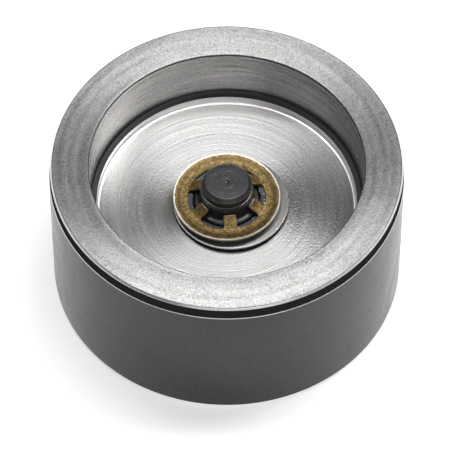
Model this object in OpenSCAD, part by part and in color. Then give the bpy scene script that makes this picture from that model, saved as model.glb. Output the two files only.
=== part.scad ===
// Turning base of a watch case press: a heavy steel cup that turns on a low foot.
// The foot carries a black spindle. The cup rides on a ball thrust bearing around it,
// and a star-lock washer on the spindle's nose holds the cup down.
// The origin is on the bench at the turning axis, and +Z points up out of the cup.

/* [Cup] */
// Outer diameter of the cup's side
body_d = 52.4; // [43:0.1:66]
// Diameter of the bore that opens at the rim
bore_d = 40.6; // [33:0.1:49]
// Depth of the bore, from the rim down to its ledge
bore_depth = 9.16; // [5:0.01:20]
// Width of the ledge at the foot of the bore
ledge_w = 0.95; // [0.5:0.05:3]
// Depth of the floor below the ledge
seat_depth = 1.3; // [0.5:0.05:4]
// Thickness of the cup's floor
floor_t = 5.3; // [3:0.1:12]
// Thickness of the skirt around the foot
skirt_t = 3.4; // [2:0.1:6]
// Bevel around the rim's outer edge
rim_bevel = 0.24; // [0.1:0.01:0.6]
// Height of the dark land under the rim
land_h = 1.85; // [0.5:0.05:4]
// How much smaller in radius the rim is than the side below its land
land_relief = 0.2; // [0.1:0.01:0.8]
// Bevel along the land's lower edge
land_step = 0.08; // [0.04:0.01:0.09]
// Bevel around the mouth of the bore
bore_bevel = 0.14; // [0.05:0.01:0.5]
// Bevel along the skirt's lower edges
skirt_bevel = 0.3; // [0.1:0.05:0.8]
// Radius in the corner between the bore and its ledge
ledge_fillet = 0.3; // [0.1:0.05:0.45]

/* [Foot] */
// Height of the skirt above the bench
foot_gap = 0.5; // [0.3:0.05:2]
// Thickness of the foot plate
plate_t = 4; // [3:0.1:8]
// Radial gap between the foot plate and the skirt
skirt_gap = 0.3; // [0.2:0.05:1]
// Thickness of the rubber pad
pad_t = 1.2; // [0.9:0.1:3]
// Width of the foot plate's lip around the pad
pad_lip = 1; // [0.5:0.1:3]
// Space between the screw heads and the pad
pad_margin = 2.8; // [0.5:0.1:5]
// Width of each groove in the pad
pad_groove = 0.8; // [0.4:0.1:1]

/* [Bearing] */
// Diameter of a bearing ball
ball_d = 4; // [3:0.1:5]
// Space between neighbouring balls
ball_gap = 1.9; // [1:0.1:4]
// Thickness of each race
race_t = 1.6; // [1.2:0.1:3]
// Depth of the ball track in each race
track_depth = 0.5; // [0.3:0.05:0.8]
// How far each race sits into its seat
race_seat = 0.5; // [0.3:0.1:1]
// Gap between the balls and each track
ball_play = 0.02; // [0.01:0.01:0.1]
// Space between the races and the skirt
race_margin = 3; // [1:0.5:5]
// Thickness of the ball cage
cage_t = 1.4; // [0.8:0.1:2]
// Gap between a ball and its pocket
pocket_gap = 0.15; // [0.05:0.05:0.4]

/* [Spindle] */
// Diameter of the shank that the star-lock washer grips
shank_d = 8; // [6:0.1:10]
// Width of the shoulder between the shank and the journal
shoulder_w = 0.8; // [0.4:0.1:2]
// Height of the spindle's end above its shoulder
nose_h = 4.2; // [3.6:0.05:8]
// How far the shoulder stands above the spring washer
shoulder_rise = 0.2; // [0.05:0.05:0.4]
// Length of the plain end of the nose
nose_land = 1.65; // [1:0.05:3]
// Bevel around the nose's end
nose_bevel = 0.5; // [0.2:0.05:1]
// Radial gap between the journal and its bush
journal_gap = 0.04; // [0.01:0.01:0.1]
// Wall thickness of the bush
bush_t = 1.8; // [1:0.1:3]
// How far the flange stands out around the journal
flange_w = 3.7; // [3:0.1:5]
// Thickness of the flange
flange_t = 2; // [1.5:0.1:3]
// Diameter of the spigot that centres the spindle in the foot plate
spigot_d = 6; // [4:0.1:7]
// Number of flange screws
screw_count = 3; // [3:1:6]
// Thread diameter of a flange screw
screw_d = 2.5; // [2:0.1:3]

/* [Washers] */
// Outer diameter of the flat washer
flat_d = 17.2; // [15:0.1:22]
// Thickness of the flat washer
flat_t = 1; // [0.5:0.1:2]
// How far the loose flat washer lies off the axis
flat_shift = 0.65; // [0:0.05:1]
// Outer diameter of the blued spring washer
spring_d = 15.4; // [13:0.1:20]
// Thickness of the blued spring washer
spring_t = 0.6; // [0.4:0.1:1.5]
// Outer diameter of the star-lock washer
star_d = 16; // [14:0.1:20]
// Width of the star-lock washer's ring
star_ring_w = 2.15; // [1.5:0.05:2.6]
// Thickness of the star-lock washer's sheet
star_t = 0.4; // [0.3:0.05:0.8]
// Number of gripping tabs
tab_count = 6; // [4:1:8]
// Width of a gripping tab
tab_w = 1.9; // [1:0.05:2.6]
// How far the tabs' tips stand above the ring
tab_rise = 1.2; // [0.4:0.05:1.5]
// How far the ring's outer edge is dished up
star_dish = 0.35; // [0:0.05:0.4]
// Radius in the corners of the windows between the tabs
window_r = 0.5; // [0.1:0.05:0.6]

/* [Hidden] */

$fn = 96;
eps = 0.01;
press_gap = 0.01;   // between pieces that are pressed together
seat_gap = 0.05;    // around each race in its seat
washer_gap = 0.1;   // least gap between a washer and the journal
axial_play = 0.05;  // between the spring washer and the star-lock washer
edge = 0.12;        // small bevel on turned edges
track_ease = 0.1;   // how much larger than a ball its track is, in radius
race_clear = 2.2;   // between the spindle's flange and the races
cage_wall = 1.1;    // cage on each side of the ball pockets
nose_lead = 0.3;    // how much thinner than the shank the nose is, in radius

// Radii of the cup
body_r = body_d / 2;
rim_r = body_r - land_relief;
bore_r = bore_d / 2;
seat_r = bore_r - ledge_w;
skirt_r = body_r - skirt_t;

// Spindle
shank_r = shank_d / 2;
journal_r = shank_r + shoulder_w;
flange_r = journal_r + flange_w;
nose_r = shank_r - nose_lead;
shoulder_edge = 0.18;
root_fillet = shoulder_w - shoulder_edge;
spigot_r = spigot_d / 2;
bush_r = journal_r + journal_gap + bush_t;

// Bearing, centred between the spindle's flange and the skirt
race_in = flange_r + race_clear;
race_out = skirt_r - race_margin;
track_r = (race_in + race_out) / 2;
ball_r = ball_d / 2;
ball_count = floor(2 * PI * track_r / (ball_d + ball_gap));
bearing_h = 2 * race_t + ball_d - 2 * track_depth + 2 * ball_play;
cage_w = ball_d + 2 * cage_wall;

// Foot
plate_r = skirt_r - skirt_gap;
pad_r = plate_r - pad_lip;
pad_recess = pad_t - foot_gap;

// Flange screws, with countersunk heads
screw_head_r = 0.94 * screw_d;
screw_head_h = screw_head_r - screw_d / 2;
screw_inset = 0.3;
screw_short = 0.6;
screw_ring = (journal_r + flange_r) / 2 - screw_inset;
screw_len = plate_t + flange_t - screw_short;
thread_gap = 0.02;
hole_gap = 0.1;
hex_r = 0.35 * screw_d;
pad_in = screw_ring + screw_head_r + pad_margin;

// Heights, from the bench up
plate_z = foot_gap;
plate_top = plate_z + plate_t;
race_z = plate_top - race_seat;
ball_z = race_z + bearing_h / 2;
race_top = race_z + bearing_h;
under_z = race_top - race_seat;
floor_z = under_z + floor_t;
ledge_z = floor_z + seat_depth;
rim_z = ledge_z + bore_depth;
flat_z = floor_z;
spring_z = flat_z + flat_t;
star_z = spring_z + spring_t + axial_play;
shoulder_z = spring_z + spring_t + shoulder_rise;
nose_z = shoulder_z + nose_h;

// Washers
flat_r = flat_d / 2;
flat_bore_r = journal_r + flat_shift + washer_gap;
spring_r = spring_d / 2;
spring_bore_r = journal_r + 2 * washer_gap;
star_r = star_d / 2;
star_in = star_r - star_ring_w;
tip_r = shank_r + press_gap;
first_tab = 36;

// Points of a quarter turn about c, from angle a to angle b
function turn(c, r, a, b, n = 8) =
    [for (i = [0:n]) c + r * [cos(a + (b - a) * i / n), sin(a + (b - a) * i / n)]];

// A flat ring with a small bevel on all four edges
module bevelled_ring(r_in, r_out, t, b = edge) {
    rotate_extrude()
        polygon([[r_in + b, 0], [r_out - b, 0], [r_out, b], [r_out, t - b],
                 [r_out - b, t], [r_in + b, t], [r_in, t - b], [r_in, b]]);
}

// Copies around the axis
module around(count, ring, start = 0) {
    for (i = [0:count - 1])
        rotate([0, 0, start + i * 360 / count]) translate([ring, 0, 0]) children();
}

// The cup: rim, bore with its ledge, floor, and a skirt that covers the foot
module body() {
    side = [
        [skirt_r + skirt_bevel, foot_gap],
        [body_r - skirt_bevel, foot_gap],
        [body_r, foot_gap + skirt_bevel],
        [body_r, rim_z - rim_bevel - land_h],
        [body_r - land_step, rim_z - rim_bevel - land_h + land_step],
        [rim_r, rim_z - rim_bevel],
        [rim_r - rim_bevel, rim_z]
    ];
    inside = concat(
        [[bore_r + bore_bevel, rim_z], [bore_r, rim_z - bore_bevel]],
        turn([bore_r - ledge_fillet, ledge_z + ledge_fillet], ledge_fillet, 0, -90),
        [[seat_r + edge / 2, ledge_z], [seat_r, ledge_z - edge / 2], [seat_r, floor_z]],
        [[bush_r + press_gap + edge, floor_z], [bush_r + press_gap, floor_z - edge]]
    );
    underside = [
        [bush_r + press_gap, under_z + race_seat],
        [race_out + seat_gap, under_z + race_seat],
        [race_out + seat_gap, under_z],
        [skirt_r, under_z],
        [skirt_r, foot_gap + skirt_bevel]
    ];
    color("dimgray") rotate_extrude($fn = 180) polygon(concat(side, inside, underside));
}

// Bronze bush pressed into the cup's floor
module bush() {
    color("peru") translate([0, 0, under_z + race_seat])
        bevelled_ring(journal_r + journal_gap, bush_r, floor_t - race_seat);
}

// One race of the thrust bearing, with its ball track on top
module race() {
    difference() {
        bevelled_ring(race_in, race_out, race_t);
        translate([0, 0, race_t - track_depth + ball_r + track_ease])
            rotate_extrude() translate([track_r, 0]) circle(r = ball_r + track_ease, $fn = 48);
    }
}

module lower_race() {
    color("silver") translate([0, 0, race_z]) race();
}

module upper_race() {
    color("silver") translate([0, 0, race_top]) mirror([0, 0, 1]) race();
}

// Brass cage that spaces the balls
module ball_cage() {
    color("goldenrod") translate([0, 0, ball_z - cage_t / 2]) difference() {
        bevelled_ring(track_r - cage_w / 2, track_r + cage_w / 2, cage_t);
        around(ball_count, track_r)
            translate([0, 0, -eps]) cylinder(r = ball_r + pocket_gap, h = cage_t + 2 * eps, $fn = 48);
    }
}

module balls() {
    color("white") translate([0, 0, ball_z])
        around(ball_count, track_r) sphere(r = ball_r, $fn = 48);
}

// Steel foot plate, with a seat for the lower race and a recess for the pad
module foot_plate() {
    color("darkgray") difference() {
        translate([0, 0, plate_z]) bevelled_ring(spigot_r + press_gap, plate_r, plate_t, 2 * edge);
        translate([0, 0, race_z]) difference() {
            cylinder(r = race_out + seat_gap, h = race_seat + eps, $fn = 180);
            translate([0, 0, -eps]) cylinder(r = race_in - seat_gap, h = race_seat + 3 * eps);
        }
        translate([0, 0, plate_z - eps]) difference() {
            cylinder(r = pad_r + seat_gap, h = pad_recess + eps, $fn = 180);
            translate([0, 0, -eps]) cylinder(r = pad_in - seat_gap, h = pad_recess + 3 * eps);
        }
        around(screw_count, screw_ring) {
            translate([0, 0, plate_z - eps])
                cylinder(r = screw_d / 2 + hole_gap, h = plate_t + 2 * eps, $fn = 48);
            translate([0, 0, plate_z - eps])
                cylinder(r1 = screw_head_r + edge + hole_gap + eps, r2 = screw_d / 2 + hole_gap,
                         h = screw_head_h + edge + eps, $fn = 48);
        }
    }
}

// Rubber pad under the foot plate, with grooves in its tread
module foot_pad() {
    groove_count = 3;
    groove_at = (pad_r - pad_in) / (groove_count + 1);
    color("black") difference() {
        bevelled_ring(pad_in, pad_r, pad_t);
        for (i = [1:groove_count])
            translate([0, 0, -eps]) difference() {
                cylinder(r = pad_r - i * groove_at + pad_groove / 2, h = foot_gap / 2 + eps);
                translate([0, 0, -eps])
                    cylinder(r = pad_r - i * groove_at - pad_groove / 2, h = foot_gap + 3 * eps);
            }
    }
}

// Black spindle: spigot, flange, journal, shoulder, shank and nose
module spindle() {
    lead_z = nose_z - nose_land;
    lead_h = 0.5;
    lead_step = 0.07;
    pip_r = 0.4;
    profile = concat(
        [[0, plate_z + edge], [spigot_r - edge, plate_z + edge], [spigot_r, plate_z + 2 * edge],
         [spigot_r, plate_top], [flange_r - edge, plate_top], [flange_r, plate_top + edge],
         [flange_r, plate_top + flange_t - edge], [flange_r - edge, plate_top + flange_t],
         [journal_r, plate_top + flange_t], [journal_r, shoulder_z - shoulder_edge],
         [journal_r - shoulder_edge, shoulder_z]],
        turn([shank_r + root_fillet, shoulder_z + root_fillet], root_fillet, -90, -180),
        [[shank_r, lead_z - lead_h], [nose_r + lead_step, lead_z], [nose_r, lead_z],
         [nose_r, nose_z - nose_bevel], [nose_r - nose_bevel, nose_z],
         [pip_r, nose_z], [0, nose_z - pip_r]]
    );
    color("#2b2b2d") difference() {
        rotate_extrude() polygon(profile);
        around(screw_count, screw_ring) translate([0, 0, plate_top - eps])
            cylinder(r = screw_d / 2 + thread_gap, h = flange_t + 2 * eps, $fn = 48);
    }
}

// Countersunk screws that hold the spindle's flange to the foot plate
module spindle_screws() {
    color("gray") around(screw_count, screw_ring) translate([0, 0, plate_z + edge]) difference() {
        rotate_extrude($fn = 48)
            polygon([[0, 0], [screw_head_r, 0], [screw_d / 2, screw_head_h],
                     [screw_d / 2, screw_len], [0, screw_len]]);
        translate([0, 0, -eps]) cylinder(r = hex_r, h = screw_head_h + eps, $fn = 6);
    }
}

// Loose flat washer on the cup's floor
module flat_washer() {
    color("lightgray") translate([flat_shift, 0, flat_z]) bevelled_ring(flat_bore_r, flat_r, flat_t);
}

// Blued spring washer under the star-lock washer
module spring_washer() {
    color("slategray") translate([0, 0, spring_z]) bevelled_ring(spring_bore_r, spring_r, spring_t);
}

// Star-lock washer: a ring with tabs that lean up and grip the spindle's shank
module star_lock_washer() {
    rim_round = star_t / 3;
    fold_r = star_in + star_ring_w / 4;
    root = 0.15;
    tip_break = 0.1;
    sheet = concat(
        [[star_in - root, 0], [fold_r, 0], [star_r - rim_round, star_dish]],
        turn([star_r - rim_round, star_dish + star_t - rim_round], rim_round, 0, 90, 4),
        [[fold_r, star_t], [star_in, star_t], [tip_r + tip_break, star_t + tab_rise],
         [tip_r, star_t + tab_rise - tip_break], [tip_r, tab_rise]]
    );
    color("#a8884a") translate([0, 0, star_z]) difference() {
        rotate_extrude() polygon(sheet);
        translate([0, 0, -1]) linear_extrude(star_t + tab_rise + 2) star_windows();
    }
}

// Outline of the windows between the tabs
module star_windows() {
    difference() {
        circle(r = star_in);
        circle(r = shank_r / 2);
        around(tab_count, 0, first_tab) {
            translate([shank_r / 3, -tab_w / 2]) square([star_r, tab_w]);
            root_corner();
            mirror([0, 1]) root_corner();
        }
    }
}

// Metal that rounds the corner between a tab's side and the ring
module root_corner() {
    side = tab_w / 2;
    centre = [sqrt(pow(star_in - window_r, 2) - pow(side + window_r, 2)), side + window_r];
    corner = [sqrt(pow(star_in, 2) - pow(side, 2)), side];
    difference() {
        polygon([centre, [centre[0], side - eps], [corner[0] + window_r, side - eps],
                 corner * (1 + window_r / star_in), centre * (star_in + window_r) / norm(centre)]);
        translate(centre) circle(r = window_r, $fn = 32);
    }
}

body();
bush();
upper_race();
ball_cage();
balls();
lower_race();
foot_plate();
foot_pad();
spindle();
spindle_screws();
flat_washer();
spring_washer();
star_lock_washer();
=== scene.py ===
"""Turning base of a watch case press: a heavy steel cup that turns on a low foot.

Every piece is made in metres in the frame's own axes, and rides on the body that carries it.
"""

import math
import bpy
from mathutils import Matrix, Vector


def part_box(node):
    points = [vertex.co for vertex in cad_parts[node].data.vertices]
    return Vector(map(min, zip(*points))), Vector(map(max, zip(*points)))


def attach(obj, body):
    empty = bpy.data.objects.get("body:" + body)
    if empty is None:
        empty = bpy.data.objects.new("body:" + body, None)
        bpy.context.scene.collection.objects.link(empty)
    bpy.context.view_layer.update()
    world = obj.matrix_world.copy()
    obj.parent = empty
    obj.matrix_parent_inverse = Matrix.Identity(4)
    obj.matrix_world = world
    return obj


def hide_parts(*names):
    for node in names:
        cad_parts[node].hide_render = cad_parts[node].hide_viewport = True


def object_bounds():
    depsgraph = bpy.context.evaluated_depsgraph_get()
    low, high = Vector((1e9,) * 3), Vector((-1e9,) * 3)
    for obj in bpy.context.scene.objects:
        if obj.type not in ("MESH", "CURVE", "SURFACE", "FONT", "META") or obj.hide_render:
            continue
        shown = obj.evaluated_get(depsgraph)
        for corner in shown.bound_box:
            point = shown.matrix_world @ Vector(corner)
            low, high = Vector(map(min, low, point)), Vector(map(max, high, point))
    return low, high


bl_info = {
    "name": "Watch Press Turning Base",
    "version": (1, 0, 0),
    "blender": (4, 5, 0),
    "location": "View3D > Sidebar > Turning Base",
    "description": "Makes the cup, washers and spindle of a watch press's turning base",
    "category": "Add Mesh",
}

import bmesh
import bpy
from mathutils import Euler, Vector

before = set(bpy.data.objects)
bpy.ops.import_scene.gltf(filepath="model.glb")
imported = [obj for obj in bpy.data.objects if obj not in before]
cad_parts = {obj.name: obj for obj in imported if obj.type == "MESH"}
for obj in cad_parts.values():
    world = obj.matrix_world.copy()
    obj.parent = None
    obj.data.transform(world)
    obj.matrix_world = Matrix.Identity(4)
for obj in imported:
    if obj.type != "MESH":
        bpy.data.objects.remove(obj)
CAD_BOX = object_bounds()
MM = 0.001
SMALL_TURNS = 192  # segments around the spindle and the washers
# Camera: focal length in millimetres, distance in metres, angle below the horizon, point aimed at
LENS = 319.95
DISTANCE = 0.6001
LOOKING_DOWN = math.radians(54.441)
AIM = Vector((-0.259, 0.0, 10.054)) * MM
# Lamps: where each stands in metres, its size, its power in watts, and whether it faces straight down
LAMPS = (
    ("lamp_over", (0.14, 0.165, 0.70), (0.88, 0.20), 5.7, True),
    ("lamp_right", (0.54, 0.31, 0.70), (0.60, 0.16), 1.5, True),
    ("lamp_high_front", (0.20, -0.36, 0.68), (0.80, 0.30), 1.7, True),
    ("lamp_low_front", (0.1, -0.80, 0.58), (0.90, 0.45), 0.7, False),
    ("lamp_back", (0.35, 0.75, 0.45), (0.50, 0.30), 0.8, False),
)


def reach(node):
    """Smallest half width of a node's box: the radius of a round piece that stays inside it."""
    low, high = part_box(node)
    return min(high[0] - low[0], high[1] - low[1]) / 2


def bottom(node):
    """Height of a node's lowest point."""
    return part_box(node)[0][2]


def top(node):
    """Height of a node's highest point."""
    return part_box(node)[1][2]


def middle_x(node):
    """X of the middle of a node's box."""
    low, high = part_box(node)
    return (low[0] + high[0]) / 2


# ---------------------------------------------------------------- sizes and colours


def length(name, description, value):
    """A size in metres."""
    return bpy.props.FloatProperty(
        name=name, description=description, default=value, subtype="DISTANCE", unit="LENGTH",
        precision=5)


def colour(name, description, value):
    """A linear red, green and blue colour."""
    return bpy.props.FloatVectorProperty(
        name=name, description=description, default=value, subtype="COLOR", size=3,
        min=0.0, max=1.0)


class CupSizes(bpy.types.PropertyGroup):
    """Sizes of the cup that its box doesn't give."""

    rim_radius: length("Rim radius", "Radius of the rim's outer edge", reach("body") - 0.2 * MM)
    land_height: length("Land height", "Height of the dark land under the rim", 1.85 * MM)
    bore_radius: length("Bore radius", "Radius of the bore", 20.3 * MM)
    seat_radius: length("Seat radius", "Radius of the floor inside the ledge", 19.35 * MM)
    ledge_height: length("Ledge height", "Height of the ledge", bottom("flat_washer") + 1.3 * MM)
    hub_radius: length("Hub radius", "Radius of the hole for the bush", reach("bush") + 0.01 * MM)
    skirt_radius: length("Skirt radius", "Inner radius of the skirt", 22.8 * MM)
    roof_height: length("Roof height", "Height of the cup's underside", bottom("bush") - 0.5 * MM)
    race_recess: length("Race recess", "Radius of the recess for the upper race", 19.85 * MM)
    recess_depth: length("Recess depth", "Depth of the recess for the upper race", 0.5 * MM)
    rim_bevel: length("Rim bevel", "Bevel around the rim's outer edge", 0.24 * MM)
    bore_bevel: length("Bore bevel", "Bevel around the bore's mouth", 0.14 * MM)
    hub_bevel: length("Hub bevel", "Bevel around the hole for the bush", 0.12 * MM)
    skirt_bevel: length("Skirt bevel", "Bevel on the skirt's bottom edges", 0.3 * MM)
    turns: bpy.props.IntProperty(
        name="Segments", description="Number of segments around the cup", default=360, min=96)


class HubSizes(bpy.types.PropertyGroup):
    """Sizes of the spindle and the washers."""

    shank_radius: length("Shank radius", "Radius of the spindle's shank", 4.0 * MM)
    nose_radius: length("Nose radius", "Radius of the spindle's nose", 3.7 * MM)
    journal_radius: length("Journal radius", "Radius of the spindle's journal", 4.8 * MM)
    shoulder_height: length(
        "Shoulder height", "Height of the spindle's shoulder", top("spring_washer") + 0.2 * MM)
    tab_width: length("Tab width", "Width of a gripping tab", 1.9 * MM)
    tab_count: bpy.props.IntProperty(
        name="Tabs", description="Number of gripping tabs", default=6, min=4, max=8)
    first_tab: bpy.props.FloatProperty(
        name="First tab", description="Angle of the first tab", default=math.radians(36),
        subtype="ANGLE", unit="ROTATION")
    sheet: length("Sheet", "Thickness of the star-lock washer's sheet", 0.40 * MM)
    ring_width: length("Ring width", "Width of the star-lock washer's ring", 2.15 * MM)
    dish: length("Dish", "How far the star-lock washer's rim is dished up", 0.35 * MM)
    nose_length: length("Nose length", "Length of the plain end of the nose", 1.65 * MM)
    nose_bevel: length("Nose bevel", "Bevel around the nose's end", 0.50 * MM)
    flange_height: length("Flange height", "Thickness of the spindle's flange", 2.0 * MM)
    spigot_radius: length("Spigot radius", "Radius of the spigot in the foot plate", 3.0 * MM)


class Finishes(bpy.types.PropertyGroup):
    """Colours of the metals, the rubber and the bench top."""

    steel: colour("Steel", "Bare turned steel", (0.43, 0.425, 0.42))
    oxide: colour("Black oxide", "Blackened steel", (0.013, 0.013, 0.014))
    blued: colour("Blued steel", "Dark blue-grey washer", (0.055, 0.061, 0.068))
    zinc: colour("Yellow zinc", "Yellow plating of the star-lock washer", (0.075, 0.045, 0.012))
    zinc_pale: colour("Pale zinc", "Paler patches of the plating", (0.255, 0.172, 0.060))
    bronze: colour("Bronze", "Bush", (0.45, 0.26, 0.12))
    brass: colour("Brass", "Ball cage", (0.62, 0.44, 0.17))
    rubber: colour("Rubber", "Pad under the foot", (0.02, 0.02, 0.02))
    bench: colour("Bench", "Bench top under the part", (0.80, 0.80, 0.80))


# ---------------------------------------------------------------- node helpers


class Wiring:
    """Short ways to add and join shader nodes in one tree. The functions below call theirs w."""

    def __init__(self, tree):
        self.tree = tree

    def add(self, kind, **settings):
        """A new node with its settings."""
        made = self.tree.nodes.new(kind)
        for key, value in settings.items():
            setattr(made, key, value)
        return made

    def plug(self, socket, value):
        """Joins a socket to another one, or sets its value."""
        if isinstance(value, bpy.types.NodeSocket):
            self.tree.links.new(value, socket)
        elif value is not None:
            socket.default_value = value

    def math(self, operation, a, b=None):
        """The result of a sum, product or other operation on one or two values."""
        made = self.add("ShaderNodeMath", operation=operation)
        for socket, value in zip(made.inputs, (a, b)):
            self.plug(socket, value)
        return made.outputs[0]

    def span(self, value, low, high, to_low=0.0, to_high=1.0):
        """Maps low to high onto to_low to to_high, and holds what lies outside."""
        made = self.add("ShaderNodeMapRange", clamp=True)
        for key, v in (("Value", value), ("From Min", low), ("From Max", high),
                       ("To Min", to_low), ("To Max", to_high)):
            self.plug(made.inputs[key], v)
        return made.outputs["Result"]

    def blend(self, amount, a, b):
        """Mixes colour a with colour b."""
        made = self.add("ShaderNodeMix", data_type="RGBA", blend_type="MIX", clamp_factor=True)
        self.plug(made.inputs[0], amount)
        for socket, value in ((made.inputs[6], a), (made.inputs[7], b)):
            if isinstance(value, (tuple, list)):
                value = (*value[:3], 1.0)
            self.plug(socket, value)
        return made.outputs[2]

    def noise(self, vector, scale, detail=2.0, rough=0.5, distortion=0.0):
        """Noise between nought and one, around a half."""
        made = self.add("ShaderNodeTexNoise", noise_dimensions="3D")
        self.plug(made.inputs["Vector"], vector)
        for key, v in (("Scale", scale), ("Detail", detail), ("Roughness", rough),
                       ("Distortion", distortion)):
            self.plug(made.inputs[key], v)
        return made.outputs["Fac"]

    def vector(self, x, y, z):
        """Three values as one vector."""
        made = self.add("ShaderNodeCombineXYZ")
        for socket, v in zip(made.inputs, (x, y, z)):
            self.plug(socket, v)
        return made.outputs[0]

    def object_point(self):
        """The point on the piece, in metres along its own axes."""
        return self.add("ShaderNodeTexCoord").outputs["Object"]


def group(name, inputs, outputs):
    """A new shader node group with named float, colour or vector sockets."""
    made = bpy.data.node_groups.new(name, "ShaderNodeTree")
    for way, sockets in (("INPUT", inputs), ("OUTPUT", outputs)):
        for label, kind, default in sockets:
            socket = made.interface.new_socket(name=label, in_out=way, socket_type=kind)
            if default is not None:
                socket.default_value = default
    return made


def build_turning_marks():
    """Tool marks of a lathe: fine rings around the Z axis, broken up along the way."""
    made = group(
        "turning_marks",
        [("Point", "NodeSocketVector", None), ("Fine", "NodeSocketFloat", 9000.0),
         ("Coarse", "NodeSocketFloat", 1500.0), ("Breakup", "NodeSocketFloat", 0.4)],
        [("Marks", "NodeSocketFloat", None), ("Bands", "NodeSocketFloat", None)])
    w = Wiring(made)
    given, result = w.add("NodeGroupInput"), w.add("NodeGroupOutput")
    split = w.add("ShaderNodeSeparateXYZ")
    w.plug(split.inputs[0], given.outputs["Point"])
    x, y, z = split.outputs
    radius = w.math("SQRT", w.math("ADD", w.math("MULTIPLY", x, x), w.math("MULTIPLY", y, y)))
    drift = w.add("ShaderNodeVectorMath", operation="SCALE")
    w.plug(drift.inputs[0], given.outputs["Point"])
    drift.inputs["Scale"].default_value = 0.03
    shifted = w.add("ShaderNodeVectorMath", operation="ADD")
    w.plug(shifted.inputs[0], w.vector(radius, z, 0.0))
    w.plug(shifted.inputs[1], drift.outputs[0])
    place = shifted.outputs[0]
    fine = w.noise(place, given.outputs["Fine"], 3.0, 0.6)
    bands = w.noise(place, given.outputs["Coarse"], 2.0, 0.5)
    patch = w.span(w.noise(given.outputs["Point"], 260.0, 2.0, 0.5), 0.35, 0.62)
    keep = w.math("SUBTRACT", 1.0, w.math("MULTIPLY", patch, given.outputs["Breakup"]))
    marks = w.math("ADD", 0.5, w.math("MULTIPLY", w.math("SUBTRACT", fine, 0.5), keep))
    w.plug(result.inputs["Marks"], marks)
    w.plug(result.inputs["Bands"], bands)


def build_grit():
    """Fine grain of a ground face, with small dark pits."""
    made = group(
        "grit",
        [("Point", "NodeSocketVector", None), ("Scale", "NodeSocketFloat", 3000.0),
         ("Pit Scale", "NodeSocketFloat", 2100.0)],
        [("Grain", "NodeSocketFloat", None), ("Pits", "NodeSocketFloat", None)])
    w = Wiring(made)
    given, result = w.add("NodeGroupInput"), w.add("NodeGroupOutput")
    point = given.outputs["Point"]
    w.plug(result.inputs["Grain"], w.noise(point, given.outputs["Scale"], 2.0, 0.6))
    pits = w.noise(point, given.outputs["Pit Scale"], 2.0, 0.5)
    w.plug(result.inputs["Pits"], w.span(pits, 0.60, 0.70))


def build_handling():
    """Signs of handling: small smudges and a few specks of dust."""
    made = group(
        "handling",
        [("Point", "NodeSocketVector", None), ("Patch Scale", "NodeSocketFloat", 300.0),
         ("Speck Scale", "NodeSocketFloat", 2600.0), ("Speck Amount", "NodeSocketFloat", 0.5)],
        [("Smudge", "NodeSocketFloat", None), ("Specks", "NodeSocketFloat", None)])
    w = Wiring(made)
    given, result = w.add("NodeGroupInput"), w.add("NodeGroupOutput")
    smudge = w.noise(given.outputs["Point"], given.outputs["Patch Scale"], 4.0, 0.6, 0.6)
    specks = w.noise(given.outputs["Point"], given.outputs["Speck Scale"], 1.0, 0.4)
    low = w.math("SUBTRACT", 0.80, w.math("MULTIPLY", given.outputs["Speck Amount"], 0.12))
    w.plug(result.inputs["Smudge"], w.span(smudge, 0.35, 0.68))
    w.plug(result.inputs["Specks"], w.span(specks, low, w.math("ADD", low, 0.03)))


def placed(w, name, **values):
    """Places a shared effect in a material with its own values."""
    made = w.add("ShaderNodeGroup", node_tree=bpy.data.node_groups[name])
    w.plug(made.inputs["Point"], w.object_point())
    for key, value in values.items():
        w.plug(made.inputs[key.replace("_", " ")], value)
    return made.outputs


def start_material(name, constants, turned=0.0):
    """Starts a material and returns its wiring and its shader. turned is the shader's anisotropy."""
    if name in bpy.data.materials:
        raise RuntimeError(f"a material named {name} is already there")
    made = bpy.data.materials.new(name)
    made.use_nodes = True
    w = Wiring(made.node_tree)
    shader = made.node_tree.nodes["Principled BSDF"]
    for key, value in constants.items():
        shader.inputs[key].default_value = value
    if turned:
        shader.inputs["Anisotropic"].default_value = turned
        shader.inputs["Anisotropic Rotation"].default_value = 0.25
        tangent = w.add("ShaderNodeTangent", direction_type="RADIAL", axis="Z")
        w.plug(shader.inputs["Tangent"], tangent.outputs[0])
    return w, shader


def raise_surface(w, shader, height, distance):
    """Joins a bump to the shader. distance is how far a height of one stands up."""
    bump = w.add("ShaderNodeBump")
    w.plug(bump.inputs["Height"], height)
    bump.inputs["Distance"].default_value = distance
    bump.inputs["Strength"].default_value = 1.0
    w.plug(shader.inputs["Normal"], bump.outputs[0])


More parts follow.
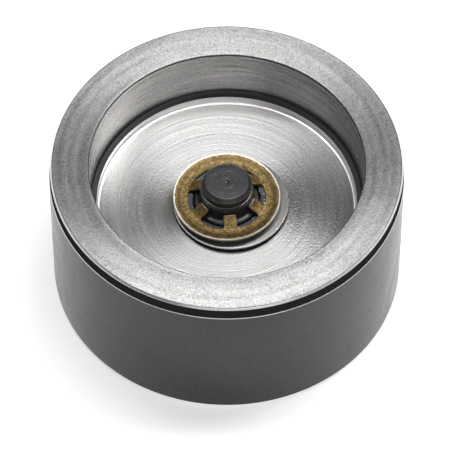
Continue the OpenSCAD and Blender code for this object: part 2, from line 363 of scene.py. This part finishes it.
def turned_steel(name, base, pale, rough, turned=0.0, ring=0.01, grain=0.01, fine=3600.0,
                 scale=3000.0, pits=0.0, grainy=0.3, foot=None):
    """Bare steel with tool marks: base and pale are its darker and lighter tone.

    rough is its roughness, and turned its anisotropy. ring and grain are the depths of the tool
    marks and of the grain, in millimetres, and fine and scale are how close together they lie.
    grainy is the grain's share of the tone, and pits is how dark the pits are. foot is the height
    of a corner above which the colour is darkened as painted shade.
    """
    w, shader = start_material(name, {"Metallic": 1.0}, turned)
    rings = placed(w, "turning_marks", Fine=fine, Coarse=900.0, Breakup=0.5)
    grit = placed(w, "grit", Scale=scale)
    hands = placed(w, "handling")
    tone = w.math("ADD", w.math("MULTIPLY", rings["Marks"], 1.0 - grainy),
                  w.math("MULTIPLY", grit["Grain"], grainy))
    tint = w.blend(w.span(tone, 0.38, 0.62), base, pale)
    if pits:
        tint = w.blend(w.math("MULTIPLY", grit["Pits"], pits), tint, times(base, 0.35))
    # painted shade: the colour darkens towards the corner at the foot
    if foot is not None:
        split = w.add("ShaderNodeSeparateXYZ")
        w.plug(split.inputs[0], w.object_point())
        low = w.span(split.outputs[2], foot + 0.1 * MM, foot + 1.5 * MM, 1.0, 0.0)
        tint = w.blend(w.math("POWER", low, 1.8), tint, times(base, 0.10))
    w.plug(shader.inputs["Base Color"], tint)
    w.plug(shader.inputs["Roughness"],
           w.math("ADD", w.span(rings["Bands"], 0.35, 0.65, rough - 0.03, rough + 0.03),
                  w.math("MULTIPLY", hands["Smudge"], 0.03)))
    height = w.math("ADD", w.math("MULTIPLY", rings["Marks"], ring),
                    w.math("MULTIPLY", grit["Grain"], grain))
    raise_surface(w, shader, height, MM)


def blackened(name, base, pale, rough, specular, fine=7000.0, ring=0.002, grain=0.002, dusty=0.5):
    """Steel with a black oxide finish. dusty is the amount of dust specks on it."""
    w, shader = start_material(name, {"Metallic": 0.0, "Specular IOR Level": specular})
    rings = placed(w, "turning_marks", Fine=fine, Coarse=1200.0, Breakup=0.5)
    hands = placed(w, "handling", Patch_Scale=240.0, Speck_Amount=dusty)
    grit = placed(w, "grit", Scale=3600.0)
    tone = w.math("ADD", w.math("MULTIPLY", rings["Marks"], 0.4),
                  w.math("MULTIPLY", grit["Grain"], 0.6))
    tint = w.blend(w.span(tone, 0.40, 0.60), base, pale)
    tint = w.blend(w.math("MULTIPLY", hands["Smudge"], 0.2), tint, base)
    tint = w.blend(w.math("MULTIPLY", hands["Specks"], 0.2), tint, (0.22, 0.22, 0.22))
    w.plug(shader.inputs["Base Color"], tint)
    w.plug(shader.inputs["Roughness"],
           w.math("ADD", rough - 0.04, w.math("MULTIPLY", hands["Smudge"], 0.08)))
    height = w.math("ADD", w.math("MULTIPLY", rings["Marks"], ring),
                    w.math("MULTIPLY", grit["Grain"], grain))
    raise_surface(w, shader, height, MM)


def plated(name, base, pale, inner, outer, edge):
    """Yellow zinc plating: mottled, with grime and painted shade inside the rim, and worn bright with
    painted highlight along its top edges.

    inner and outer are the radii of the tabs' tips and of the rim. Below the height called edge
    there is neither wear nor painted highlight.
    """
    w, shader = start_material(name, {"Metallic": 0.6, "Specular IOR Level": 0.4})
    point = w.object_point()
    split = w.add("ShaderNodeSeparateXYZ")
    w.plug(split.inputs[0], point)
    x, y, z = split.outputs
    radius = w.math("SQRT", w.math("ADD", w.math("MULTIPLY", x, x), w.math("MULTIPLY", y, y)))
    cloud = w.noise(point, 1300.0, 3.0, 0.6, 0.4)
    grit = placed(w, "grit", Scale=4600.0, Pit_Scale=3000.0)
    tone = w.math("ADD", w.math("MULTIPLY", cloud, 0.4), w.math("MULTIPLY", grit["Grain"], 0.6))
    tint = w.blend(w.span(tone, 0.44, 0.56), base, pale)
    tint = w.blend(w.math("MULTIPLY", grit["Pits"], 0.3), tint, times(base, 0.3))
    # grime and painted shade: a darker band along the fold between the ring and the tabs
    from_band = w.math("ABSOLUTE", w.math("SUBTRACT", radius, outer - 0.85 * MM))
    grime_and_shade = w.span(from_band, 0.15 * MM, 0.45 * MM, 0.55, 0.0)
    tint = w.blend(grime_and_shade, tint, times(base, 0.4))
    # wear and painted highlight: pale steel along the rim's top edge and the tabs' tips, only above
    # edge
    wander = w.math("MULTIPLY", w.math("SUBTRACT", cloud, 0.5), 0.3 * MM)
    at = w.math("ADD", radius, wander)
    wear_and_highlight = w.math("MAXIMUM", w.span(at, outer - 0.30 * MM, outer - 0.20 * MM),
                  w.span(at, inner + 0.10 * MM, inner + 0.20 * MM, 1.0, 0.0))
    wear_and_highlight = w.math("MULTIPLY", wear_and_highlight, w.span(z, edge - 0.05 * MM, edge + 0.05 * MM))
    tint = w.blend(w.math("MULTIPLY", wear_and_highlight, 0.85), tint, (0.66, 0.65, 0.59))
    w.plug(shader.inputs["Base Color"], tint)
    w.plug(shader.inputs["Roughness"], w.span(grit["Grain"], 0.35, 0.65, 0.34, 0.48))
    raise_surface(w, shader, tone, 0.05 * MM)


def plain_metal(name, base, pale, rough):
    """A machined or rolled metal without strong tool marks."""
    w, shader = start_material(name, {"Metallic": 1.0})
    grain = w.noise(w.object_point(), 1200.0, 3.0, 0.6)
    w.plug(shader.inputs["Base Color"], w.blend(w.span(grain, 0.38, 0.62), base, pale))
    w.plug(shader.inputs["Roughness"], w.span(grain, 0.35, 0.65, rough - 0.05, rough + 0.05))
    raise_surface(w, shader, grain, 0.002 * MM)


def moulded_rubber(name, base):
    """Dull black rubber with a fine moulded grain."""
    w, shader = start_material(name, {"Metallic": 0.0, "Specular IOR Level": 0.35})
    grain = w.noise(w.object_point(), 1600.0, 3.0, 0.6)
    w.plug(shader.inputs["Base Color"],
           w.blend(w.span(grain, 0.38, 0.62), base, times(base, 1.8)))
    w.plug(shader.inputs["Roughness"], w.span(grain, 0.35, 0.65, 0.70, 0.85))
    raise_surface(w, shader, grain, 0.01 * MM)


def blued_sheet(name, base):
    """Blued sheet steel with pale specks of dust."""
    w, shader = start_material(name, {"Metallic": 1.0})
    hands = placed(w, "handling", Speck_Amount=1.0, Speck_Scale=2400.0)
    tint = w.blend(hands["Smudge"], base, times(base, 1.5))
    w.plug(shader.inputs["Base Color"], w.blend(hands["Specks"], tint, (0.55, 0.56, 0.57)))
    w.plug(shader.inputs["Roughness"], w.span(hands["Specks"], 0.0, 1.0, 0.38, 0.7))
    raise_surface(w, shader, hands["Smudge"], 0.004 * MM)


def times(tint, factor):
    """A colour made lighter or darker by a factor."""
    return tuple(min(1.0, c * factor) for c in tint)


# ---------------------------------------------------------------- mesh helpers


def softened(corners, steps=4):
    """Points of an outline whose corners (r, z, radius, finish) are rounded in a few steps.

    The finish belongs to the edge that leaves the corner. Returns (r, z, finish) points.
    """
    made = []
    count = len(corners)
    for i, (r, z, soft, finish) in enumerate(corners):
        before, after = corners[i - 1], corners[(i + 1) % count]
        here = Vector((r, z))
        back = Vector(before[:2]) - here
        ahead = Vector(after[:2]) - here
        if soft <= 0 or back.length < 1e-9 or ahead.length < 1e-9:
            made.append((r, z, finish))
            continue
        soft = min(soft, back.length * 0.9, ahead.length * 0.9)
        start, end = here + back.normalized() * soft, here + ahead.normalized() * soft
        for k in range(steps + 1):
            t = k / steps
            p = start * (1 - t) ** 2 + here * (2 * t * (1 - t)) + end * t * t
            made.append((p.x, p.y, finish if k >= steps / 2 else before[3]))
    return made


def turned_piece(name, outline, finishes, segments, centre=(0.0, 0.0)):
    """A piece turned on a lathe: a closed outline in (r, z) swept around the Z axis at centre."""
    mesh = bpy.data.meshes.new(name)
    bm = bmesh.new()
    rings = []
    for r, z, _ in outline:
        if r < 1e-8:
            rings.append([bm.verts.new((0, 0, z))])
        else:
            rings.append([bm.verts.new((r * math.cos(a), r * math.sin(a), z))
                          for a in (2 * math.pi * i / segments for i in range(segments))])
    order = {finish: i for i, finish in enumerate(finishes)}
    count = len(outline)
    for i in range(count):
        here, there = rings[i], rings[(i + 1) % count]
        finish_index = order[outline[i][2]]
        if len(here) == 1 and len(there) == 1:
            continue
        for k in range(segments):
            m = (k + 1) % segments
            if len(here) == 1:
                corners = [here[0], there[k], there[m]]
            elif len(there) == 1:
                corners = [here[k], there[0], here[m]]
            else:
                corners = [here[k], there[k], there[m], here[m]]
            face = bm.faces.new(corners)
            face.material_index = finish_index
            face.smooth = True
    bmesh.ops.recalc_face_normals(bm, faces=bm.faces)
    bm.to_mesh(mesh)
    bm.free()
    made = bpy.data.objects.new(name, mesh)
    bpy.context.scene.collection.objects.link(made)
    made.location = (centre[0], centre[1], 0.0)
    for finish in finishes:
        mesh.materials.append(bpy.data.materials[finish])
    mesh.set_sharp_from_angle(angle=math.radians(40))
    return made


class StarShape:
    """The middle surface of the star-lock washer: a dished ring and the tabs inside it."""

    FOLD = 0.5 * MM         # width of the flat fold between the ring and the tabs
    CORNER = 0.5 * MM       # radius between a tab and the ring
    TIP_CORNER = 0.28 * MM  # radius on a tab's tip
    ACROSS, ALONG = 12, 22  # steps across a tab and along it
    RINGS, GAP = 14, 14     # steps across the ring, and along a window

    def __init__(self, sizes):
        low, high = bottom("star_lock_washer"), top("star_lock_washer")
        self.outer = reach("star_lock_washer")
        self.inner = self.outer - sizes.ring_width
        self.tip = sizes.shank_radius + 0.01 * MM
        self.middle = low + sizes.sheet / 2
        self.rise, self.dish = high - low - sizes.sheet, sizes.dish
        self.half = sizes.tab_width / 2
        self.pitch = 2 * math.pi / sizes.tab_count
        # distance from the axis at which the corner beside the ring begins
        self.corner_start = math.sqrt((self.inner - self.CORNER) ** 2 - (self.half + self.CORNER) ** 2)
        # where the corner meets the ring's inner circle: a tab's root
        root = Vector((self.corner_start, self.half + self.CORNER)).normalized() * self.inner
        self.root_x, self.root_half = root.x, root.y

    def height(self, r):
        """Height at a radius: flat at the fold, and up to the rim and to the tips."""
        fold = self.inner + self.FOLD
        if r > fold:
            return self.middle + self.dish * ((r - fold) / (self.outer - fold)) ** 1.5
        if r < self.inner:
            t = min(1.0, (self.inner - r) / (self.inner - self.tip))
            return self.middle + self.rise * (t - 0.06 * math.sin(math.pi * t))
        return self.middle

    def half_width(self, x):
        """Half a tab's width at a distance from the axis, with its corners."""
        wide = self.half
        if x > self.corner_start:
            past = x - self.corner_start
            wide += self.CORNER - math.sqrt(max(0.0, self.CORNER ** 2 - past ** 2))
        if x - self.tip < self.TIP_CORNER:
            short = self.TIP_CORNER - (x - self.tip)
            wide -= self.TIP_CORNER - math.sqrt(self.TIP_CORNER ** 2 - short ** 2)
        return wide

    def tab_point(self, t, v):
        """Point of a tab that lies along X: t runs from its root to its tip, v across it."""
        if t == 0:
            y = v * self.root_half
            return math.sqrt(self.inner ** 2 - y ** 2), y
        x = self.root_x + (self.tip - self.root_x) * t ** 0.8
        y = v * self.half_width(x)
        bulge = math.sqrt(self.inner ** 2 - y ** 2) - self.root_x
        tip_fit = math.sqrt(self.tip ** 2 - y ** 2) - self.tip
        return x + bulge * max(0.0, 1 - t * 4) + tip_fit * t, y

    def add_tab(self, bm, turn):
        """Adds a tab that is turned around the axis, and returns the points along its root."""
        cos, sin = math.cos(turn), math.sin(turn)
        rows = []
        for i in range(self.ALONG + 1):
            row = []
            for j in range(self.ACROSS + 1):
                x, y = self.tab_point(i / self.ALONG, -1 + 2 * j / self.ACROSS)
                row.append(bm.verts.new((x * cos - y * sin, x * sin + y * cos,
                                         self.height(math.hypot(x, y)))))
            rows.append(row)
        for a, b in zip(rows, rows[1:]):
            for j in range(self.ACROSS):
                bm.faces.new((a[j], a[j + 1], b[j + 1], b[j]))
        return rows[0]

    def add_ring(self, bm, first_turn, roots):
        """Adds the ring around the tabs, joined to the points along their roots."""
        edge_angle = math.atan2(self.root_half, self.root_x)
        loop = []
        for k, root in enumerate(roots):
            loop.extend(root)
            for j in range(1, self.GAP):
                a = first_turn + k * self.pitch + edge_angle
                a += (self.pitch - 2 * edge_angle) * j / self.GAP
                loop.append(bm.verts.new((self.inner * math.cos(a), self.inner * math.sin(a),
                                          self.middle)))
        angles = [math.atan2(v.co.y, v.co.x) for v in loop]
        for i in range(1, self.RINGS + 1):
            r = self.inner + (self.outer - self.inner) * i / self.RINGS
            around = [bm.verts.new((r * math.cos(a), r * math.sin(a), self.height(r)))
                      for a in angles]
            for j in range(len(loop)):
                m = (j + 1) % len(loop)
                bm.faces.new((loop[j], around[j], around[m], loop[m]))
            loop = around


def stand_for(piece, node, body):
    """The piece rides on the body and stands for the CAD node, which is hidden."""
    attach(piece, body)
    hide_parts(node)


# ---------------------------------------------------------------- stage


def lay_bench(scene):
    """A wide, pale bench top just under the part."""
    mesh = bpy.data.meshes.new("bench")
    bm = bmesh.new()
    bmesh.ops.create_grid(bm, x_segments=8, y_segments=8, size=1.5)
    bm.to_mesh(mesh)
    bm.free()
    bench = bpy.data.objects.new("bench", mesh)
    scene.collection.objects.link(bench)
    bench.location.z = CAD_BOX[0][2] - 0.02 * MM
    w, shader = start_material(
        "bench_top", {"Metallic": 0.0, "Specular IOR Level": 0.1, "Roughness": 0.8,
                      "Emission Strength": 0.36, "Emission Color": (1.0, 1.0, 1.0, 1.0)})
    grain = w.noise(w.object_point(), 400.0, 2.0, 0.5)
    tint = tuple(scene.press_finishes.bench)
    w.plug(shader.inputs["Base Color"], w.blend(grain, times(tint, 0.99), tint))
    mesh.materials.append(bpy.data.materials["bench_top"])


def light_world(scene):
    """A dark studio that is lighter on the right, with a bright band up from the horizon."""
    world = bpy.data.worlds.new("studio")
    scene.world = world
    world.use_nodes = True
    w = Wiring(world.node_tree)
    back = world.node_tree.nodes["Background"]
    split = w.add("ShaderNodeSeparateXYZ")
    w.plug(split.inputs[0], w.add("ShaderNodeTexCoord").outputs["Generated"])
    side = w.span(split.outputs["X"], -0.8, 0.8)
    high = w.blend(side, (0.03, 0.03, 0.031), (0.20, 0.20, 0.198))
    horizon = w.span(split.outputs["Z"], 0.38, 0.48, 1.0, 0.0)
    w.plug(back.inputs["Color"], w.blend(horizon, high, (0.80, 0.80, 0.80)))
    back.inputs["Strength"].default_value = 1.0


def hang_lamps(scene):
    """Oblong soft lamps, facing straight down or towards the part."""
    for name, place, size, power, straight_down in LAMPS:
        lamp = bpy.data.lights.new(name, "AREA")
        lamp.shape, lamp.size, lamp.size_y, lamp.energy = "RECTANGLE", size[0], size[1], power
        holder = bpy.data.objects.new(name, lamp)
        scene.collection.objects.link(holder)
        holder.location = place
        if not straight_down:
            aim = Vector((0, 0, 15 * MM)) - Vector(place)
            holder.rotation_euler = aim.to_track_quat("-Z", "Y").to_euler()


def place_camera(scene):
    """A long lens that looks down into the cup from the front."""
    camera = bpy.data.cameras.new("camera")
    camera.lens, camera.sensor_width = LENS, 36.0
    camera.clip_start, camera.clip_end = 0.01, 10.0
    holder = bpy.data.objects.new("camera", camera)
    scene.collection.objects.link(holder)
    holder.location = AIM + DISTANCE * Vector((0, -math.cos(LOOKING_DOWN), math.sin(LOOKING_DOWN)))
    holder.rotation_euler = Euler((math.pi / 2 - LOOKING_DOWN, 0, 0))
    scene.camera = holder


# ---------------------------------------------------------------- operators


class PRESS_OT_finishes(bpy.types.Operator):
    """Makes the metals and the rubber, with the effects that they share"""

    bl_idname = "press.finishes"
    bl_label = "Finishes"

    def execute(self, context):
        tints, sizes = context.scene.press_finishes, context.scene.press_cup
        build_turning_marks()
        build_grit()
        build_handling()
        steel, oxide = tuple(tints.steel), tuple(tints.oxide)
        # height above which the star-lock's edges get wear and painted highlight
        wear_and_highlight_above = bottom("star_lock_washer") + 0.55 * MM
        turned_steel("ground_rim", times(steel, 0.76), times(steel, 1.36), 0.30, 0.70, ring=0.006,
                     grain=0.016, scale=5200.0, pits=0.35, grainy=0.9)
        # the bored wall gets painted shade, darker towards its corner with the ledge
        turned_steel("bored_wall", times(steel, 0.67), times(steel, 1.50), 0.24, 0.70, ring=0.03,
                     foot=sizes.ledge_height)
        turned_steel("faced_floor", times(steel, 0.80), times(steel, 1.09), 0.35, 0.84, ring=0.06,
                     grain=0.03, fine=2300.0)
        # painted highlight: a near-white lit copy of the steel for the bright line on the seat's
        # fillet
        turned_steel("seat_wall", times(steel, 2.10), times(steel, 2.25), 0.30, ring=0.002,
                     grain=0.002)
        # painted highlight: a lit copy of the steel, far paler than the faces, for the bevels' bright
        # lines
        turned_steel("bright_edge", times(steel, 1.70), times(steel, 2.05), 0.26, ring=0.002,
                     grain=0.004)
        # painted shade: a very dark copy of the steel for the thin dark lines at the rim's edge and
        # the bore's mouth
        turned_steel("edge_line", times(steel, 0.14), times(steel, 0.28), 0.38)
        # wear and painted highlight: bare steel on the spindle's edges for thin bright lines
        turned_steel("worn_edge", times(steel, 0.35), times(steel, 0.75), 0.30)
        turned_steel("rough_underside", times(steel, 0.55), times(steel, 0.85), 0.42, 0.5)
        # black oxide on the land, also painted shade on the skirt's lower bevel as a contact shadow
        # line and on the flat washer's sides and underside
        blackened("oxide_land", times(oxide, 0.9), times(oxide, 1.6), 0.6, 0.0)
        blackened("oxide_ledge", times(oxide, 1.6), times(oxide, 2.6), 0.5, 0.3)
        blackened("oxide_side", times(oxide, 0.05), times(oxide, 1.3), 0.26, 0.34, grain=0.01)
        blackened("spindle_black", times(oxide, 0.7), times(oxide, 1.4), 0.30, 0.5, fine=3000.0,
                  ring=0.02, dusty=1.0)
        blackened("spindle_face", times(oxide, 0.7), times(oxide, 2.8), 0.32, 0.5, fine=2000.0,
                  ring=0.10, dusty=1.0)
        turned_steel("rolled_steel", times(steel, 0.45), times(steel, 0.70), 0.36, 0.3)
        blued_sheet("blued_sheet", tuple(tints.blued))
        plated("zinc_plating", tuple(tints.zinc), tuple(tints.zinc_pale),
               context.scene.press_hub.shank_radius, reach("star_lock_washer"), wear_and_highlight_above)
        plain_metal("bush_bronze", tuple(tints.bronze), times(tints.bronze, 1.4), 0.35)
        plain_metal("milled_brass", tuple(tints.brass), times(tints.brass, 1.3), 0.30)
        plain_metal("race_steel", times(steel, 0.75), times(steel, 1.0), 0.18)
        plain_metal("lapped_ball", times(steel, 0.95), times(steel, 1.15), 0.08)
        plain_metal("plate_steel", times(steel, 0.45), times(steel, 0.7), 0.42)
        plain_metal("dark_screw", times(steel, 0.30), times(steel, 0.5), 0.35)
        moulded_rubber("moulded_pad", tuple(tints.rubber))
        return {"FINISHED"}


class PRESS_OT_cup(bpy.types.Operator):
    """Turns the cup: rim, dark land, side, bore, ledge, floor and skirt"""

    bl_idname = "press.cup"
    bl_label = "Cup"

    def execute(self, context):
        sizes = context.scene.press_cup
        side, rim, low = reach("body"), top("body"), bottom("body")
        floor = bottom("flat_washer")
        land = rim - sizes.rim_bevel - sizes.land_height
        recess = sizes.roof_height + sizes.recess_depth
        soft, sharp = 0.05 * MM, 0.03 * MM
        outline = softened([
            # skirt and side
            (sizes.skirt_radius + sizes.skirt_bevel, low, soft, "bright_edge"),
            # painted shade: the skirt's lower bevel is black as a contact shadow line
            (side - sizes.skirt_bevel, low, 0.02 * MM, "oxide_land"),
            (side - 0.1 * MM, low + 0.26 * MM, 0.0, "bright_edge"),
            (side, low + 0.36 * MM, sharp, "oxide_side"),
            # dark land and rim
            # the bevel below the land and the rim's outer bevel carry painted highlight
            (side, land, sharp, "bright_edge"),
            (side - 0.08 * MM, land + 0.08 * MM, 0.02 * MM, "oxide_land"),
            (sizes.rim_radius, rim - sizes.rim_bevel, sharp, "bright_edge"),
            (sizes.rim_radius - sizes.rim_bevel, rim, sharp, "edge_line"),
            (sizes.rim_radius - sizes.rim_bevel - 0.12 * MM, rim, 0.0, "ground_rim"),
            # bore, ledge and floor
            (sizes.bore_radius + sizes.bore_bevel, rim, soft, "edge_line"),
            (sizes.bore_radius, rim - sizes.bore_bevel, 0.02 * MM, "oxide_land"),
            (sizes.bore_radius, rim - sizes.bore_bevel - 0.16 * MM, 0.0, "bored_wall"),
            (sizes.bore_radius, sizes.ledge_height, 0.5 * MM, "oxide_ledge"),
            (sizes.seat_radius, sizes.ledge_height, 0.10 * MM, "seat_wall"),
            (sizes.seat_radius, floor, 0.38 * MM, "seat_wall"),
            (sizes.seat_radius - 0.40 * MM, floor, 0.0, "faced_floor"),
            # hole for the bush and underside
            (sizes.hub_radius + sizes.hub_bevel, floor, sharp, "bright_edge"),
            (sizes.hub_radius, floor - sizes.hub_bevel, 0.0, "rough_underside"),
            (sizes.hub_radius, recess, 0.0, "rough_underside"),
            (sizes.race_recess, recess, 0.0, "rough_underside"),
            (sizes.race_recess, sizes.roof_height, soft, "rough_underside"),
            (sizes.skirt_radius, sizes.roof_height, 0.2 * MM, "rough_underside"),
            (sizes.skirt_radius, low + sizes.skirt_bevel, soft, "rough_underside"),
        ], steps=6)
        finishes = ["ground_rim", "bright_edge", "edge_line", "oxide_land", "oxide_side",
                    "bored_wall", "oxide_ledge", "seat_wall", "faced_floor", "rough_underside"]
        cup = turned_piece("cup", outline, finishes, sizes.turns)
        stand_for(cup, "body", "cup")
        return {"FINISHED"}


class PRESS_OT_spindle(bpy.types.Operator):
    """Turns the black spindle, with its bevelled nose and lathe centre"""

    bl_idname = "press.spindle"
    bl_label = "Spindle"

    def execute(self, context):
        sizes = context.scene.press_hub
        low, high = bottom("spindle"), top("spindle")
        spigot, flange, journal = sizes.spigot_radius, reach("spindle"), sizes.journal_radius
        shank, nose = sizes.shank_radius, sizes.nose_radius
        plate, shoulder = top("foot_plate"), sizes.shoulder_height
        lead = high - sizes.nose_length
        deck = plate + sizes.flange_height
        soft, sharp, bevel, broken = 0.05 * MM, 0.02 * MM, 0.12 * MM, 0.18 * MM
        face, black, edge = "spindle_face", "spindle_black", "worn_edge"
        outline = softened([
            # spigot and flange
            (0.0, low, 0.0, black),
            (spigot - bevel, low, soft, black),
            (spigot, low + bevel, soft, black),
            (spigot, plate, 0.0, black),
            (flange - bevel, plate, soft, black),
            (flange, plate + bevel, soft, black),
            (flange, deck - bevel, soft, black),
            (flange - bevel, deck, soft, black),
            # journal, shoulder and shank
            (journal, deck, 0.0, black),
            (journal, shoulder - broken, 0.04 * MM, face),
            (journal - broken, shoulder, 0.04 * MM, black),
            (shank, shoulder, 0.62 * MM, black),
            (shank, lead - 0.5 * MM, 0.1 * MM, black),
            # nose with worn bare edges, painted as highlights as well, and a lathe centre
            (nose + 0.07 * MM, lead, sharp, edge),
            (nose, lead, sharp, black),
            (nose, high - sizes.nose_bevel - 0.06 * MM, sharp, edge),
            (nose - 0.04 * MM, high - sizes.nose_bevel, 0.03 * MM, black),
            (nose - sizes.nose_bevel, high, 0.06 * MM, face),
            (0.4 * MM, high, 0.03 * MM, black),
            (0.0, high - 0.4 * MM, 0.0, black),
        ], steps=6)
        spindle = turned_piece("spindle_turned", outline, [black, face, edge], SMALL_TURNS)
        stand_for(spindle, "spindle", "foot")
        return {"FINISHED"}


class PRESS_OT_washers(bpy.types.Operator):
    """Turns the loose flat washer and the dark washer above it"""

    bl_idname = "press.washers"
    bl_label = "Washers"

    def execute(self, context):
        journal = context.scene.press_hub.journal_radius
        soft = 0.05 * MM
        for name, node, bore, bevel, finishes, slot in (
                ("washer_flat", "flat_washer", journal + 0.75 * MM, 0.16 * MM,
                 # the flat washer's sides and underside are black as painted shade
                 ("rolled_steel", "bright_edge", "oxide_land"), "washer_steel"),
                ("washer_dark", "spring_washer", journal + 0.2 * MM, 0.10 * MM,
                 ("blued_sheet", "blued_sheet", "blued_sheet"), "blued_steel")):
            outer, low, high = reach(node), bottom(node), top(node)
            face, rim, side = finishes
            outline = softened([
                (bore + bevel, low, soft, side), (outer - bevel, low, soft, side),
                (outer, low + bevel, soft, side), (outer, high - bevel, soft, rim),
                (outer - bevel, high, soft, face), (bore + bevel, high, soft, rim),
                (bore, high - bevel, soft, side), (bore, low + bevel, soft, side),
            ])
            washer = turned_piece(name, outline, list(dict.fromkeys(finishes)), SMALL_TURNS,
                                  (middle_x(node), 0.0))
            stand_for(washer, node, "cup")
        return {"FINISHED"}


class PRESS_OT_star_lock(bpy.types.Operator):
    """Stamps the star-lock washer: a dished ring with tabs that lean up against the spindle"""

    bl_idname = "press.star_lock"
    bl_label = "Star-Lock Washer"

    def execute(self, context):
        sizes = context.scene.press_hub
        shape = StarShape(sizes)
        bm = bmesh.new()
        roots = [shape.add_tab(bm, sizes.first_tab + k * shape.pitch) for k in range(sizes.tab_count)]
        shape.add_ring(bm, sizes.first_tab, roots)
        bmesh.ops.recalc_face_normals(bm, faces=bm.faces)
        for face in bm.faces:
            face.smooth = True
        if sum(f.normal.z for f in bm.faces) < 0:
            bmesh.ops.reverse_faces(bm, faces=bm.faces)
        mesh = bpy.data.meshes.new("star_lock")
        bm.to_mesh(mesh)
        bm.free()
        star = bpy.data.objects.new("star_lock", mesh)
        context.scene.collection.objects.link(star)
        mesh.materials.append(bpy.data.materials["zinc_plating"])
        thick = star.modifiers.new("sheet", "SOLIDIFY")
        thick.thickness, thick.offset = sizes.sheet, 0.0
        thick.use_even_offset = False
        soft = star.modifiers.new("stamped edge", "BEVEL")
        soft.width, soft.segments, soft.limit_method = 0.07 * MM, 3, "ANGLE"
        soft.angle_limit = math.radians(50)
        stand_for(star, "star_lock_washer", "foot")
        return {"FINISHED"}


class PRESS_OT_bearing(bpy.types.Operator):
    """Finishes the pieces under the cup's floor: bush, thrust bearing, foot, screws and pad"""

    bl_idname = "press.bearing"
    bl_label = "Bearing and Foot"

    def execute(self, context):
        for node, finish in (
                ("bush", "bush_bronze"), ("upper_race", "race_steel"), ("lower_race", "race_steel"),
                ("ball_cage", "milled_brass"), ("balls", "lapped_ball"), ("foot_plate", "plate_steel"),
                ("spindle_screws", "dark_screw"), ("foot_pad", "moulded_pad")):
            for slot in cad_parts[node].material_slots:
                slot.link = "OBJECT"
                slot.material = bpy.data.materials[finish]
        return {"FINISHED"}


class PRESS_OT_stage(bpy.types.Operator):
    """Sets up the bench top, the lights and the camera"""

    bl_idname = "press.stage"
    bl_label = "Stage"

    def execute(self, context):
        scene = context.scene
        lay_bench(scene)
        light_world(scene)
        hang_lamps(scene)
        place_camera(scene)
        scene.view_settings.view_transform = "Standard"
        scene.view_settings.look = "None"
        return {"FINISHED"}


class PRESS_PT_panel(bpy.types.Panel):
    """Lists the pieces and their sizes"""

    bl_idname = "PRESS_PT_panel"
    bl_label = "Turning Base"
    bl_space_type = "VIEW_3D"
    bl_region_type = "UI"
    bl_category = "Turning Base"

    def draw(self, context):
        for operator in OPERATORS:
            self.layout.operator(operator.bl_idname)
        for holder in (context.scene.press_cup, context.scene.press_hub,
                       context.scene.press_finishes):
            box = self.layout.box()
            for key in holder.__annotations__:
                box.prop(holder, key)


OPERATORS = (PRESS_OT_finishes, PRESS_OT_cup, PRESS_OT_spindle, PRESS_OT_washers,
             PRESS_OT_star_lock, PRESS_OT_bearing, PRESS_OT_stage)
CLASSES = (CupSizes, HubSizes, Finishes, *OPERATORS, PRESS_PT_panel)


def register():
    for cls in CLASSES:
        bpy.utils.register_class(cls)
    bpy.types.Scene.press_cup = bpy.props.PointerProperty(type=CupSizes)
    bpy.types.Scene.press_hub = bpy.props.PointerProperty(type=HubSizes)
    bpy.types.Scene.press_finishes = bpy.props.PointerProperty(type=Finishes)


def unregister():
    del bpy.types.Scene.press_finishes
    del bpy.types.Scene.press_hub
    del bpy.types.Scene.press_cup
    for cls in reversed(CLASSES):
        bpy.utils.unregister_class(cls)


def main():
    """Makes every piece and the stage in order."""
    register()
    bpy.ops.press.finishes()
    bpy.ops.press.cup()
    bpy.ops.press.spindle()
    bpy.ops.press.washers()
    bpy.ops.press.star_lock()
    bpy.ops.press.bearing()
    bpy.ops.press.stage()


if __name__ == "__main__":
    main()
